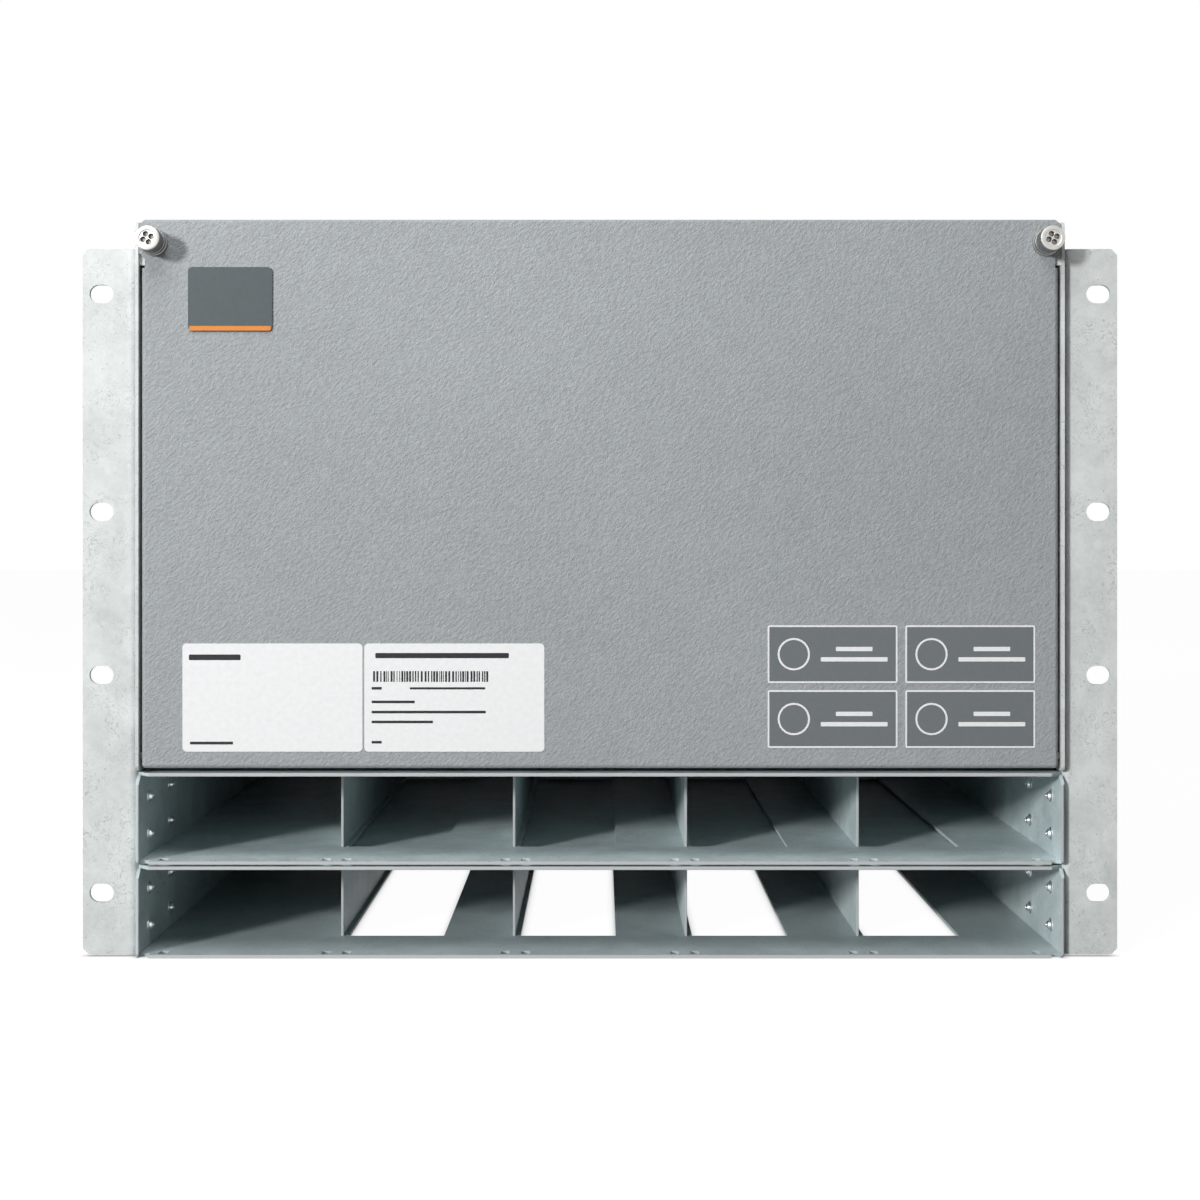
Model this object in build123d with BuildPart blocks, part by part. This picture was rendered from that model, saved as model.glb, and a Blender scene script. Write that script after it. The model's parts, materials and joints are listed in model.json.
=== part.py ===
"""Rack power shelf for a 19-inch rack.

Two low cages of five module slots each stand under a distribution box. The box is closed in
front by a folded cover that hinges down on two pins and is held by two captive thumbscrews.
Behind the cover stand two rails with breakers, surge protection, terminals and busbars.

Frame: millimetres, +Z up, +X to the right, the front faces -Y. The origin is under the middle
of the shelf, at the level of its base.
"""
import os

from build123d import *

# Rack and case
overall_width = 482.6
ear_face_width = 25.5
slot_inset = 8.75
case_height = 343.0
case_depth = 368.0
sheet = 1.5
bend_radius = 1.0
head_reach = 13.0
stud_reach = 16.0
rack_hole_spacing = overall_width - 2 * slot_inset
case_width = overall_width - 2 * ear_face_width
front_y = head_reach - (head_reach + case_depth + stud_reach) / 2
rear_y = front_y + case_depth
mid_y = (front_y + rear_y) / 2
case_half = case_width / 2
inner_half = case_half - sheet

# Module cages
cage_height = 42.4
cage_gap = 1.0
cage_bases = {"lower": 0.0, "upper": cage_height + cage_gap}
wall_top_cut = 4.0
wall_foot_radius = 2.0
roof_corner_cut = 6.0
seat_width = 10.0
seat_set_back = 9.0
relief_width = 4.6
relief_depth = 3.0

# Slots, dividers and floor cut-outs
end_slot_width = 88.9
divider_pitch = (2 * inner_half - 2 * end_slot_width) / 3
divider_sheet = 1.2
divider_set_back = 39.0
divider_xs = [divider_pitch * (i - 1.5) for i in range(4)]
slot_edges = [-inner_half] + divider_xs + [inner_half]
slot_centres = [(slot_edges[i] + slot_edges[i + 1]) / 2 for i in range(5)]
window_width = 46.5
window_offset = 3.0
window_front = 39.5
window_rear_margin = 78.0
window_back = case_depth - window_rear_margin
latch_width = 4.0
latch_depth = 6.0
latch_set_back = 5.0
latch_near = 2.5
latch_far = 7.0
latch_wall_offset = 10.5

# Backplanes and their sockets
board_sheet = 2.0
board_inset = 14.0
board_height = 30.0
board_side_gap = 0.5
board_front_y = rear_y - board_inset - board_sheet
socket_width = 44.0
socket_height = 16.0
socket_depth = 12.0
socket_wall = 2.0
socket_lift = 7.0

# Rack ears
ear_sheet = 2.0
ear_bottom = 0.9
ear_top_gap = 13.1
ear_height = case_height - ear_bottom - ear_top_gap
ear_set_back = 4.0
ear_flange = 78.0
ear_bend = 3.5
ear_corner = 2.7
slot_length = 11.2
slot_width = 8.6
rack_middle_drop = 2.3
rack_middle_z = case_height / 2 - rack_middle_drop
outer_rows = 279.4
inner_rows = 76.2
ear_front_y = front_y + ear_set_back

# Distribution box
box_gap = 0.8
box_base = cage_bases["upper"] + cage_height + box_gap
box_wall_top_gap = 1.0
box_wall_top = case_height - box_wall_top_gap
box_corner_radius = 3.0
box_floor_set_back = 15.0
cover_gap = 0.3

# Rivets that tie the ears to the cages and the box
rivet_radius = 1.6
rivet_head_radius = 2.7
rivet_head_height = 1.6
rivet_tail_radius = 2.3
rivet_tail_height = 0.8
rivet_dimple = 0.8
rivet_play = 0.05
rivet_set_backs = [18.7, 58.0]
cage_rivet_rise = 11.5
cage_rivet_drop = 13.0
box_rivet_rise = 53.4
box_rivet_drop = 63.0
rivet_columns = [front_y + set_back for set_back in rivet_set_backs]
cage_rivet_rows = [cage_rivet_rise, cage_height - cage_rivet_drop]
box_rivet_rows = [box_base + box_rivet_rise, case_height - box_rivet_drop]
rivet_zs = [base + row for base in cage_bases.values() for row in cage_rivet_rows] + box_rivet_rows

# Thumbscrew axes
screw_inset = 8.8
screw_drop = 10.8
screw_x = case_half - screw_inset
screw_z = case_height - screw_drop

# Front cover
cover_sheet = 1.5
cover_rise = 1.4
cover_side_gap = 1.3
cover_bottom = box_base + cover_rise
cover_width = 2 * (inner_half - cover_side_gap)
cover_return = 12.0
cover_bend = 2.0
return_top_drop = 22.5
return_top = case_height - return_top_drop
neck_inset = 1.7
neck_half = cover_width / 2 - neck_inset
tab_start_drop = 18.4
tab_full_drop = 15.5
tab_start = case_height - tab_start_drop
tab_full = case_height - tab_full_drop
tab_half = inner_half - cover_gap
tab_corner = 2.5
top_return_gap = 9.0
top_return_half = screw_x - top_return_gap
cover_top_radius = 1.2

# Hinge of the cover
hinge_set_back = 5.5
hinge_rise = 5.5
hinge_y = front_y + hinge_set_back
hinge_z = cover_bottom + hinge_rise
pin_radius = 2.5
pin_play = 0.08
pin_neck_radius = 1.8
pin_head_radius = 3.2
pin_head_length = 1.5
pin_head_gap = 0.7
pin_reach = cover_side_gap + cover_sheet + pin_head_gap + pin_head_length

# Thumbscrews, their ferrules and nuts
shank_radius = 2.0
shank_play = 0.08
ferrule_radius = 6.25
ferrule_height = 3.8
ferrule_barrel_radius = 4.45
ferrule_play = 0.05
knob_radius = 5.7
knob_gap = 0.3
knob_grooves = 20
groove_size = 0.7
knob_land = 1.1
face_recess_radius = 3.7
face_recess_depth = 0.5
lobe_count = 4
lobe_offset = 2.1
lobe_radius = 0.95
lobe_depth = 1.5
lobe_turn = 20.0
nut_radius = 4.5
nut_barrel_radius = 3.2
nut_length = 4.5
nut_play = 0.35
nut_flange_width = 14.3
nut_flange_height = 17.4
nut_flange_y = front_y + cover_sheet + cover_gap

# Top and rear panels
lid_top = case_height - cover_sheet - cover_gap
lid_front_gap = 0.8
lid_front_y = front_y + cover_sheet + lid_front_gap
panel_flange = 6.0
lid_flange_set_back = 14.0
cable_entry_width = 150.0
cable_entry_depth = 60.0
cable_entry_x = 100.0
cable_entry_set_back = 60.0
vent_length = 36.0
vent_height = 4.0
vent_pitch_x = 46.0
vent_pitch_z = 12.0
vent_columns = 3
vent_rows = 8
vent_field_x = 110.0
vent_field_z = (box_base + case_height) / 2

# Equipment plate and rails
plate_sheet = 2.0
plate_set_back = 102.0
plate_rise = 17.4
plate_drop = 21.0
plate_bottom = box_base + plate_rise
plate_top = case_height - plate_drop
plate_flange = 12.0
plate_front_y = front_y + plate_set_back
rail_height = 35.0
rail_crown = 27.0
rail_depth = 7.5
rail_sheet = 1.0
rail_end_gap = 14.3
rail_start_x = rail_end_gap - inner_half
rail_end_x = inner_half - rail_end_gap
rail_front_y = plate_front_y - rail_depth
upper_rail_drop = 60.0
rail_pitch = 118.0
upper_rail_z = case_height - upper_rail_drop
lower_rail_z = upper_rail_z - rail_pitch

# Breakers
module_width = 18.0
case_body_half = 42.5
case_nose_half = 22.5
case_shoulder = 44.0
case_nose = 61.0
rail_notch_half = 18.0
rail_notch_depth = 4.0
nose_slope = 2.0
drum_radius = 7.5
drum_play = 0.5
drum_set_back = 6.0
drum_side_gap = 0.3
cheek = 4.5
lever_reach = 15.0
lever_thickness = 3.0
lever_rest_tilt = 27.5
terminal_radius = 2.6
terminal_depth = 3.0
terminal_inset = 36.0
breaker_gap = 0.4
first_breaker_inset = 10.0
load_count = 6
load_start_x = rail_start_x + first_breaker_inset
battery_width = 27.0
battery_count = 2
battery_gap = 7.6
battery_start_x = load_start_x + load_count * (module_width + breaker_gap) + battery_gap
battery_end_x = battery_start_x + battery_count * battery_width + (battery_count - 1) * breaker_gap
upper_rail_spare = 23.6
upper_rail_end_x = battery_end_x + upper_rail_spare
drum_y = rail_front_y - case_nose + drum_set_back

# Busbars
feed_bar_depth = 20.0
feed_bar_thickness = 4.0
feed_bar_reach = 32.0
feed_bar_start_y = rail_front_y - feed_bar_reach
return_bar_gap = 14.0
return_bar_end_gap = 18.3
return_bar_start_x = upper_rail_end_x + return_bar_gap
return_bar_length = inner_half - return_bar_end_gap - return_bar_start_x
return_bar_height = 30.0
return_bar_thickness = 5.0
insulator_radius = 9.0
insulator_waist = 6.5
insulator_length = 37.5
insulator_inset = 18.0
bolt_end_margin = 40.0
bolt_pitch = 16.0
bolt_count = round((return_bar_length - 2 * bolt_end_margin) / bolt_pitch) + 1
bolt_radius = 3.0
bolt_play = 0.05
bolt_head_across = 10.0
bolt_head_height = 4.0
bolt_length = 12.0

# Supply terminals, surge protection, signal board and supply breakers on the lower rail
terminal_start_x = load_start_x
terminal_count = 5
terminal_pitch = 13.0
terminal_height = 56.0
terminal_block_depth = 40.0
terminal_well_radius = 3.2
surge_spacing = 15.0
surge_start_x = terminal_start_x + terminal_count * terminal_pitch + surge_spacing
surge_count = 4
surge_base_depth = 22.0
surge_arm_height = 18.0
surge_gap = 0.3
surge_cartridge_depth = 34.0
cartridge_radius = 1.0
board_width = 56.0
board_tall = 76.0
board_thickness = 1.6
board_end_gap = 4.0
board_x = rail_end_x - board_end_gap - board_width / 2
standoff_radius = 3.0
standoff_length = 18.0
standoff_inset = 5.0
connector_width = 44.0
connector_height = 9.0
connector_depth = 11.0
ac_poles = 3
ac_count = 2
ac_width = ac_poles * module_width
ac_spacing = 21.6
ac_start_x = board_x - board_width / 2 - ac_spacing - ac_count * ac_width - (ac_count - 1) * breaker_gap

# Plates and labels on the cover
badge_width = 39.0
badge_height = 29.7
badge_inset = 44.2
badge_drop = 37.1
badge_x = badge_inset - case_half
badge_z = case_height - badge_drop
badge_thickness = 0.8
badge_radius = 2.0
label_thickness = 0.2
label_width = 83.6
label_height = 50.2
label_inset = 63.8
label_pitch = 84.4
label_rise = 33.0
label_xs = [label_inset - case_half, label_inset - case_half + label_pitch]
label_z = cover_bottom + label_rise
label_radius = 2.0
notice_width = 60.3
notice_height = 26.8
notice_pitch_x = 63.9
notice_pitch_z = 30.1
notice_inset = 75.9
notice_rise = 38.1
notice_x = case_half - notice_inset
notice_z = cover_bottom + notice_rise
notice_radius = 0.9

# Earth stud
stud_radius = 3.0
stud_head_radius = 6.0
stud_head_height = 3.0
stud_collar_radius = 3.6
stud_play = 0.05
stud_inset = 35.8
stud_rise = 25.4
stud_x = stud_inset - case_half
stud_z = box_base + stud_rise


def face_plane(set_back):
    """Plane that faces the front, set back from the front edge of the case."""
    return Plane(origin=(0, front_y + set_back, 0), x_dir=(1, 0, 0), z_dir=(0, -1, 0))


def finish(builder, name):
    """Label a finished piece and write its file."""
    builder.part.label = name
    export_step(builder.part, f"parts/{name}.step")


def cage_tray(base_z):
    """Folded tray of a cage: floor, two side walls and the narrow seats that carry the roof."""
    wall_height = cage_height - sheet
    with BuildPart() as tray:
        for x in (-case_half, inner_half):
            with BuildSketch(Plane.YZ.offset(x)) as wall:
                with Locations((mid_y, base_z + wall_height / 2)):
                    Rectangle(case_depth, wall_height)
                front_corners = wall.vertices().group_by(Axis.X)[0].sort_by(Axis.Y)
                fillet(front_corners[0], wall_foot_radius)
                chamfer(wall.vertices().group_by(Axis.X)[0].sort_by(Axis.Y)[-1], wall_top_cut)
            extrude(amount=sheet)
        with Locations((0, mid_y, base_z + sheet / 2)):
            Box(2 * inner_half, case_depth, sheet)
        fold_edges = tray.edges().filter_by(Axis.Y).group_by(Axis.Z)[0].sort_by(Axis.X)
        fillet([fold_edges[0], fold_edges[-1]], bend_radius)
        seat_depth = case_depth - seat_set_back
        for side in (-1, 1):
            seat_x = side * (inner_half - seat_width / 2)
            with Locations((seat_x, rear_y - seat_depth / 2, base_z + wall_height - sheet / 2)):
                Box(seat_width, seat_depth, sheet)
            relief_x = side * (inner_half - relief_width / 2)
            with Locations((relief_x, front_y + relief_depth / 2, base_z + sheet / 2)):
                Box(relief_width, relief_depth, sheet, mode=Mode.SUBTRACT)
        with BuildSketch(Plane.XY.offset(base_z)):
            for x in divider_xs:
                window_x = x + window_offset + window_width / 2
                with Locations((window_x, front_y + (window_front + window_back) / 2)):
                    Rectangle(window_width, window_back - window_front)
            latch_xs = [side * (inner_half - latch_wall_offset) for side in (-1, 1)]
            for x in divider_xs:
                away = -1 if x > 0 else 1
                latch_xs += [x - away * latch_near, x + away * latch_far]
            with Locations([(x, front_y + latch_set_back) for x in latch_xs]):
                Rectangle(latch_width, latch_depth)
        extrude(amount=sheet, mode=Mode.SUBTRACT)
        wall_middles = [side * (case_half - sheet / 2) for side in (-1, 1)]
        with Locations([(x, y, base_z + row) for x in wall_middles for y in rivet_columns
                        for row in cage_rivet_rows]):
            Cylinder(rivet_radius + rivet_play, 2 * sheet, rotation=(0, 90, 0), mode=Mode.SUBTRACT)
    return tray


def cage_roof(base_z):
    """Flat roof sheet of a cage, with its two front corners cut off."""
    with BuildPart() as roof:
        with BuildSketch(Plane.XY.offset(base_z + cage_height - sheet)) as outline:
            with Locations((0, mid_y)):
                Rectangle(case_width, case_depth)
            chamfer(outline.vertices().group_by(Axis.Y)[0], roof_corner_cut)
        extrude(amount=sheet)
    return roof


def cage_divider(base_z, x):
    """Upright sheet between two slots, from floor to roof, set back from the front edge."""
    start_y = front_y + divider_set_back
    height = cage_height - 2 * sheet
    with BuildPart() as divider:
        with BuildSketch(Plane.YZ.offset(x - divider_sheet / 2)):
            with Locations(((start_y + board_front_y) / 2, base_z + cage_height / 2)):
                Rectangle(board_front_y - start_y, height)
        extrude(amount=divider_sheet)
    return divider


def cage_backplane(base_z):
    """Circuit board that stands on the cage floor behind the slots."""
    with BuildPart() as board:
        with Locations((0, board_front_y + board_sheet / 2, base_z + sheet + board_height / 2)):
            Box(2 * (inner_half - board_side_gap), board_sheet, board_height)
    return board


def rack_ear(side):
    """Angle bracket: a slotted face for the rack and a long flange along the case."""
    inner = case_half
    outer = overall_width / 2
    with BuildPart() as ear:
        with BuildSketch(Plane.XY.offset(ear_bottom)) as plan:
            with Locations((side * (inner + outer) / 2, ear_front_y + ear_sheet / 2)):
                Rectangle(outer - inner, ear_sheet)
            with Locations((side * (inner + ear_sheet / 2), ear_front_y + ear_flange / 2)):
                Rectangle(ear_sheet, ear_flange)
            front_row = plan.vertices().group_by(Axis.Y)[0]
            fillet(front_row.sort_by(lambda v: abs(v.X))[0], ear_bend)
            back_row = plan.vertices().filter_by(lambda v: abs(v.Y - ear_front_y - ear_sheet) < 0.01)
            fillet(back_row.sort_by(lambda v: abs(v.X))[0], ear_bend - ear_sheet)
        extrude(amount=ear_height)
        with BuildSketch(face_plane(ear_set_back)):
            rows = [rack_middle_z + way * span / 2 for span in (outer_rows, inner_rows) for way in (-1, 1)]
            with Locations([(side * rack_hole_spacing / 2, z) for z in rows]):
                SlotOverall(slot_length, slot_width)
        extrude(amount=-ear_sheet, mode=Mode.SUBTRACT)
        corner_edges = ear.edges().filter_by(Axis.Y).group_by(Axis.X)[-1 if side > 0 else 0]
        chamfer(corner_edges, ear_corner)
        flange_x = side * (inner + ear_sheet / 2)
        with Locations([(flange_x, y, z) for y in rivet_columns for z in rivet_zs]):
            Cylinder(rivet_radius + rivet_play, 2 * ear_sheet, rotation=(0, 90, 0), mode=Mode.SUBTRACT)
    return ear


def blind_rivet(side):
    """One blind rivet: domed head with its dimple inside the wall, grip, and flat tail outside."""
    grip = sheet + ear_sheet
    with BuildPart() as rivet:
        with BuildSketch(Plane.XY):
            with BuildLine():
                dome_start = (-side * (rivet_head_height - 0.1), rivet_dimple)
                dome_top = (-side * rivet_head_height * 0.72, rivet_head_radius * 0.66)
                arc = ThreePointArc(dome_start, dome_top, (0, rivet_head_radius))
                Polyline(arc @ 1, (0, rivet_radius), (side * grip, rivet_radius),
                         (side * grip, rivet_tail_radius),
                         (side * (grip + rivet_tail_height), rivet_tail_radius),
                         (side * (grip + rivet_tail_height), 0), (-side * rivet_head_height / 2, 0),
                         (-side * rivet_head_height / 2, rivet_dimple), arc @ 0)
            make_face()
        revolve(axis=Axis.X)
    return rivet


def side_rivets(side):
    """All rivets of one side as separate solids."""
    rivet = blind_rivet(side)
    with BuildPart() as rivets:
        with Locations([(side * inner_half, y, z) for y in rivet_columns for z in rivet_zs]):
            add(rivet.part)
    return rivets


def din_rail(centre_z, length):
    """Top-hat rail with its crown against the equipment plate."""
    half = rail_height / 2
    crown = rail_crown / 2
    with BuildPart() as rail:
        with BuildSketch(Plane.YZ.offset(rail_start_x)):
            with BuildLine():
                Polyline((rail_front_y, centre_z + half), (rail_front_y, centre_z + crown - rail_sheet),
                         (plate_front_y - rail_sheet, centre_z + crown - rail_sheet),
                         (plate_front_y - rail_sheet, centre_z - crown + rail_sheet),
                         (rail_front_y, centre_z - crown + rail_sheet), (rail_front_y, centre_z - half),
                         (rail_front_y + rail_sheet, centre_z - half),
                         (rail_front_y + rail_sheet, centre_z - crown), (plate_front_y, centre_z - crown),
                         (plate_front_y, centre_z + crown), (rail_front_y + rail_sheet, centre_z + crown),
                         (rail_front_y + rail_sheet, centre_z + half), close=True)
            make_face()
        extrude(amount=length)
    return rail


def breaker_cases(start_x, width, poles, count, rail_z):
    """A row of breaker bodies with a stepped nose, a rail notch and a pocket for the lever drum."""
    with BuildPart() as cases:
        for i in range(count):
            left = start_x + i * (width + breaker_gap)
            with BuildSketch(Plane.YZ.offset(left)):
                with BuildLine():
                    Polyline((rail_front_y + rail_notch_depth, rail_z + case_body_half),
                             (rail_front_y - case_shoulder, rail_z + case_body_half),
                             (rail_front_y - case_shoulder, rail_z + case_nose_half + nose_slope),
                             (rail_front_y - case_nose, rail_z + case_nose_half),
                             (rail_front_y - case_nose, rail_z - case_nose_half),
                             (rail_front_y - case_shoulder, rail_z - case_nose_half - nose_slope),
                             (rail_front_y - case_shoulder, rail_z - case_body_half),
                             (rail_front_y + rail_notch_depth, rail_z - case_body_half),
                             (rail_front_y + rail_notch_depth, rail_z - rail_notch_half),
                             (rail_front_y, rail_z - rail_notch_half),
                             (rail_front_y, rail_z + rail_notch_half),
                             (rail_front_y + rail_notch_depth, rail_z + rail_notch_half), close=True)
                make_face()
            extrude(amount=width)
            with Locations((left + width / 2, drum_y, rail_z)):
                Cylinder(drum_radius + drum_play, width - 2 * cheek, rotation=(0, 90, 0),
                         mode=Mode.SUBTRACT)
            pole_width = width / poles
            terminal_y = rail_front_y - case_shoulder + terminal_depth / 2
            with Locations([(left + pole_width * (pole + 0.5), terminal_y, rail_z + way * terminal_inset)
                            for pole in range(poles) for way in (-1, 1)]):
                Cylinder(terminal_radius, terminal_depth, rotation=(90, 0, 0), mode=Mode.SUBTRACT)
    return cases


def breaker_toggle(start_x, width, index, rail_z):
    """Lever drum of one breaker, resting in its lower position."""
    centre_x = start_x + index * (width + breaker_gap) + width / 2
    drum_width = width - 2 * cheek - 2 * drum_side_gap
    with BuildPart() as toggle:
        with Locations((centre_x, drum_y, rail_z)):
            Cylinder(drum_radius, drum_width, rotation=(0, 90, 0))
        with Locations(Location((centre_x, drum_y, rail_z), (lever_rest_tilt, 0, 0))):
            with Locations((0, -lever_reach / 2, 0)):
                Box(drum_width, lever_reach, lever_thickness)
    return toggle


os.makedirs("parts", exist_ok=True)

# Cages
for row, base in cage_bases.items():
    finish(cage_tray(base), f"{row}_cage_tray")
    finish(cage_roof(base), f"{row}_cage_roof")
    finish(cage_backplane(base), f"{row}_backplane")
    for number, divider_x in enumerate(divider_xs, start=1):
        finish(cage_divider(base, divider_x), f"{row}_divider_{number}")

# Sockets on the backplanes, each an open shell that takes a module's plug
with BuildPart() as backplane_sockets:
    socket_places = [(x, board_front_y - socket_depth / 2, base + sheet + socket_lift + socket_height / 2)
                     for base in cage_bases.values() for x in slot_centres]
    with Locations(socket_places):
        Box(socket_width, socket_depth, socket_height)
    with Locations([(x, y - socket_wall / 2, z) for x, y, z in socket_places]):
        Box(socket_width - 2 * socket_wall, socket_depth - socket_wall, socket_height - 2 * socket_wall,
            mode=Mode.SUBTRACT)
finish(backplane_sockets, "backplane_sockets")

# Ears and rivets
for side_name, side_sign in (("left", -1), ("right", 1)):
    finish(rack_ear(side_sign), f"rack_ear_{side_name}")
    finish(side_rivets(side_sign), f"frame_rivets_{side_name}")

# Box shell: two walls, a floor and the turned-in flanges for the nuts
with BuildPart() as enclosure_shell:
    for x in (-case_half, inner_half):
        with BuildSketch(Plane.YZ.offset(x)) as wall:
            with Locations((mid_y, (box_base + box_wall_top) / 2)):
                Rectangle(case_depth, box_wall_top - box_base)
            fillet(wall.vertices().group_by(Axis.X)[0], box_corner_radius)
        extrude(amount=sheet)
    with Locations((0, (front_y + box_floor_set_back + rear_y) / 2, box_base + sheet / 2)):
        Box(2 * inner_half, case_depth - box_floor_set_back, sheet)
    nut_flange_top = lid_top - sheet - cover_gap
    nut_flange_x = inner_half - nut_flange_width / 2
    nut_flange_z = nut_flange_top - nut_flange_height / 2
    for side in (-1, 1):
        with Locations((side * nut_flange_x, nut_flange_y + sheet / 2, nut_flange_z)):
            Box(nut_flange_width, sheet, nut_flange_height)
        with Locations((side * screw_x, nut_flange_y + sheet / 2, screw_z)):
            Cylinder(nut_barrel_radius + rivet_play, sheet, rotation=(90, 0, 0), mode=Mode.SUBTRACT)
        wall_x = side * (case_half - sheet / 2)
        with Locations([(wall_x, y, z) for y in rivet_columns for z in box_rivet_rows]):
            Cylinder(rivet_radius + rivet_play, sheet, rotation=(0, 90, 0), mode=Mode.SUBTRACT)
        with Locations((wall_x, hinge_y, hinge_z)):
            Cylinder(pin_neck_radius + rivet_play, sheet, rotation=(0, 90, 0), mode=Mode.SUBTRACT)
finish(enclosure_shell, "enclosure_shell")

# Lid with two cable entries and flanges that stand inside the walls
with BuildPart() as top_panel:
    lid_flange_front_y = front_y + lid_flange_set_back
    with BuildSketch(Plane.XY.offset(lid_top - sheet)):
        with Locations((0, (lid_front_y + rear_y) / 2)):
            Rectangle(2 * inner_half, rear_y - lid_front_y)
        with Locations([(side * cable_entry_x, rear_y - cable_entry_set_back) for side in (-1, 1)]):
            Rectangle(cable_entry_width, cable_entry_depth, mode=Mode.SUBTRACT)
    extrude(amount=sheet)
    for side in (-1, 1):
        with Locations((side * (inner_half - sheet / 2), (lid_flange_front_y + rear_y) / 2,
                        lid_top - panel_flange / 2)):
            Box(sheet, rear_y - lid_flange_front_y, panel_flange)
finish(top_panel, "top_panel")

# Rear panel with two fields of vents, and the hole for the earth stud
with BuildPart() as rear_panel:
    panel_bottom = box_base + sheet
    panel_top = lid_top - sheet
    with BuildSketch(Plane.XZ.offset(-rear_y)):
        with Locations((0, (panel_bottom + panel_top) / 2)):
            Rectangle(2 * (inner_half - sheet), panel_top - panel_bottom)
        for side in (-1, 1):
            with Locations((side * vent_field_x, vent_field_z)):
                with GridLocations(vent_pitch_x, vent_pitch_z, vent_columns, vent_rows):
                    Rectangle(vent_length, vent_height, mode=Mode.SUBTRACT)
        with Locations((stud_x, stud_z)):
            Circle(stud_collar_radius + stud_play, mode=Mode.SUBTRACT)
    extrude(amount=sheet)
    for side in (-1, 1):
        with Locations((side * (inner_half - sheet / 2), rear_y - panel_flange / 2,
                        (panel_bottom + lid_top - panel_flange) / 2)):
            Box(sheet, panel_flange, lid_top - panel_flange - panel_bottom)
finish(rear_panel, "rear_panel")

# Equipment plate between the walls
with BuildPart() as mounting_plate:
    plate_middle_z = (plate_bottom + plate_top) / 2
    plate_height = plate_top - plate_bottom
    with Locations((0, plate_front_y + plate_sheet / 2, plate_middle_z)):
        Box(2 * inner_half, plate_sheet, plate_height)
    for side in (-1, 1):
        with Locations((side * (inner_half - plate_sheet / 2), plate_front_y + plate_flange / 2,
                        plate_middle_z)):
            Box(plate_sheet, plate_flange, plate_height)
finish(mounting_plate, "mounting_plate")

# Rails, breakers and their toggles
finish(din_rail(upper_rail_z, upper_rail_end_x - rail_start_x), "din_rail_upper")
finish(din_rail(lower_rail_z, rail_end_x - rail_start_x), "din_rail_lower")
breaker_rows = {
    "load": (load_start_x, module_width, 1, load_count, upper_rail_z),
    "battery": (battery_start_x, battery_width, 1, battery_count, upper_rail_z),
    "ac": (ac_start_x, ac_width, ac_poles, ac_count, lower_rail_z),
}
for kind, (start_x, width, poles, count, rail_z) in breaker_rows.items():
    finish(breaker_cases(start_x, width, poles, count, rail_z), f"{kind}_breaker_cases")
    for i in range(count):
        finish(breaker_toggle(start_x, width, i, rail_z), f"{kind}_toggle_{i + 1}")

# Feed busbar along the lower terminals of the load and battery breakers
with BuildPart() as feed_busbar:
    with Locations(((load_start_x + battery_end_x) / 2, feed_bar_start_y + feed_bar_depth / 2,
                    upper_rail_z - case_body_half - feed_bar_thickness / 2)):
        Box(battery_end_x - load_start_x, feed_bar_depth, feed_bar_thickness)
finish(feed_busbar, "feed_busbar")

# Return busbar on two insulators, with its bolts
return_bar_mid_x = return_bar_start_x + return_bar_length / 2
return_bar_rear_y = plate_front_y - insulator_length
bolt_xs = [return_bar_mid_x + (i - (bolt_count - 1) / 2) * bolt_pitch for i in range(bolt_count)]
with BuildPart() as return_busbar:
    with BuildSketch(Plane.XZ.offset(-return_bar_rear_y)):
        with Locations((return_bar_mid_x, upper_rail_z)):
            Rectangle(return_bar_length, return_bar_height)
        with Locations([(x, upper_rail_z) for x in bolt_xs]):
            Circle(bolt_radius + bolt_play, mode=Mode.SUBTRACT)
    extrude(amount=return_bar_thickness)
finish(return_busbar, "return_busbar")

with BuildPart() as busbar_insulators:
    insulator_xs = [return_bar_mid_x + side * (return_bar_length / 2 - insulator_inset) for side in (-1, 1)]
    for x in insulator_xs:
        foot = (x, plate_front_y, upper_rail_z)
        with BuildSketch(Plane(origin=foot, x_dir=(1, 0, 0), z_dir=(0, 0, 1))):
            with BuildLine():
                Polyline((0, 0), (insulator_radius, 0), (insulator_radius, -insulator_length / 4),
                         (insulator_waist, -insulator_length / 2),
                         (insulator_radius, -insulator_length * 3 / 4),
                         (insulator_radius, -insulator_length), (0, -insulator_length), close=True)
            make_face()
        revolve(axis=Axis(foot, (0, 1, 0)))
finish(busbar_insulators, "busbar_insulators")

with BuildPart() as busbar_bolts:
    bar_front_y = return_bar_rear_y - return_bar_thickness
    for x in bolt_xs:
        with BuildSketch(Plane.XZ.offset(-bar_front_y)):
            with Locations((x, upper_rail_z)):
                RegularPolygon(bolt_head_across / 2, 6, major_radius=False)
        extrude(amount=bolt_head_height)
        with Locations((x, bar_front_y + bolt_length / 2, upper_rail_z)):
            Cylinder(bolt_radius, bolt_length, rotation=(90, 0, 0))
finish(busbar_bolts, "busbar_bolts")

# Surge protection: a base with two arms a pole and a plug-in cartridge between them
with BuildPart() as surge_protector_base:
    base_rear_y = rail_front_y + rail_notch_depth
    for i in range(surge_count):
        with BuildSketch(Plane.YZ.offset(surge_start_x + i * module_width)):
            with Locations(((rail_front_y - surge_base_depth + base_rear_y) / 2, lower_rail_z)):
                Rectangle(surge_base_depth + rail_notch_depth, 2 * case_body_half)
            for way in (-1, 1):
                with Locations((rail_front_y - case_shoulder / 2,
                                lower_rail_z + way * (case_body_half - surge_arm_height / 2))):
                    Rectangle(case_shoulder, surge_arm_height)
            with Locations((rail_front_y + rail_notch_depth / 2, lower_rail_z)):
                Rectangle(rail_notch_depth, 2 * rail_notch_half, mode=Mode.SUBTRACT)
        extrude(amount=module_width)
finish(surge_protector_base, "surge_protector_base")

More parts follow.
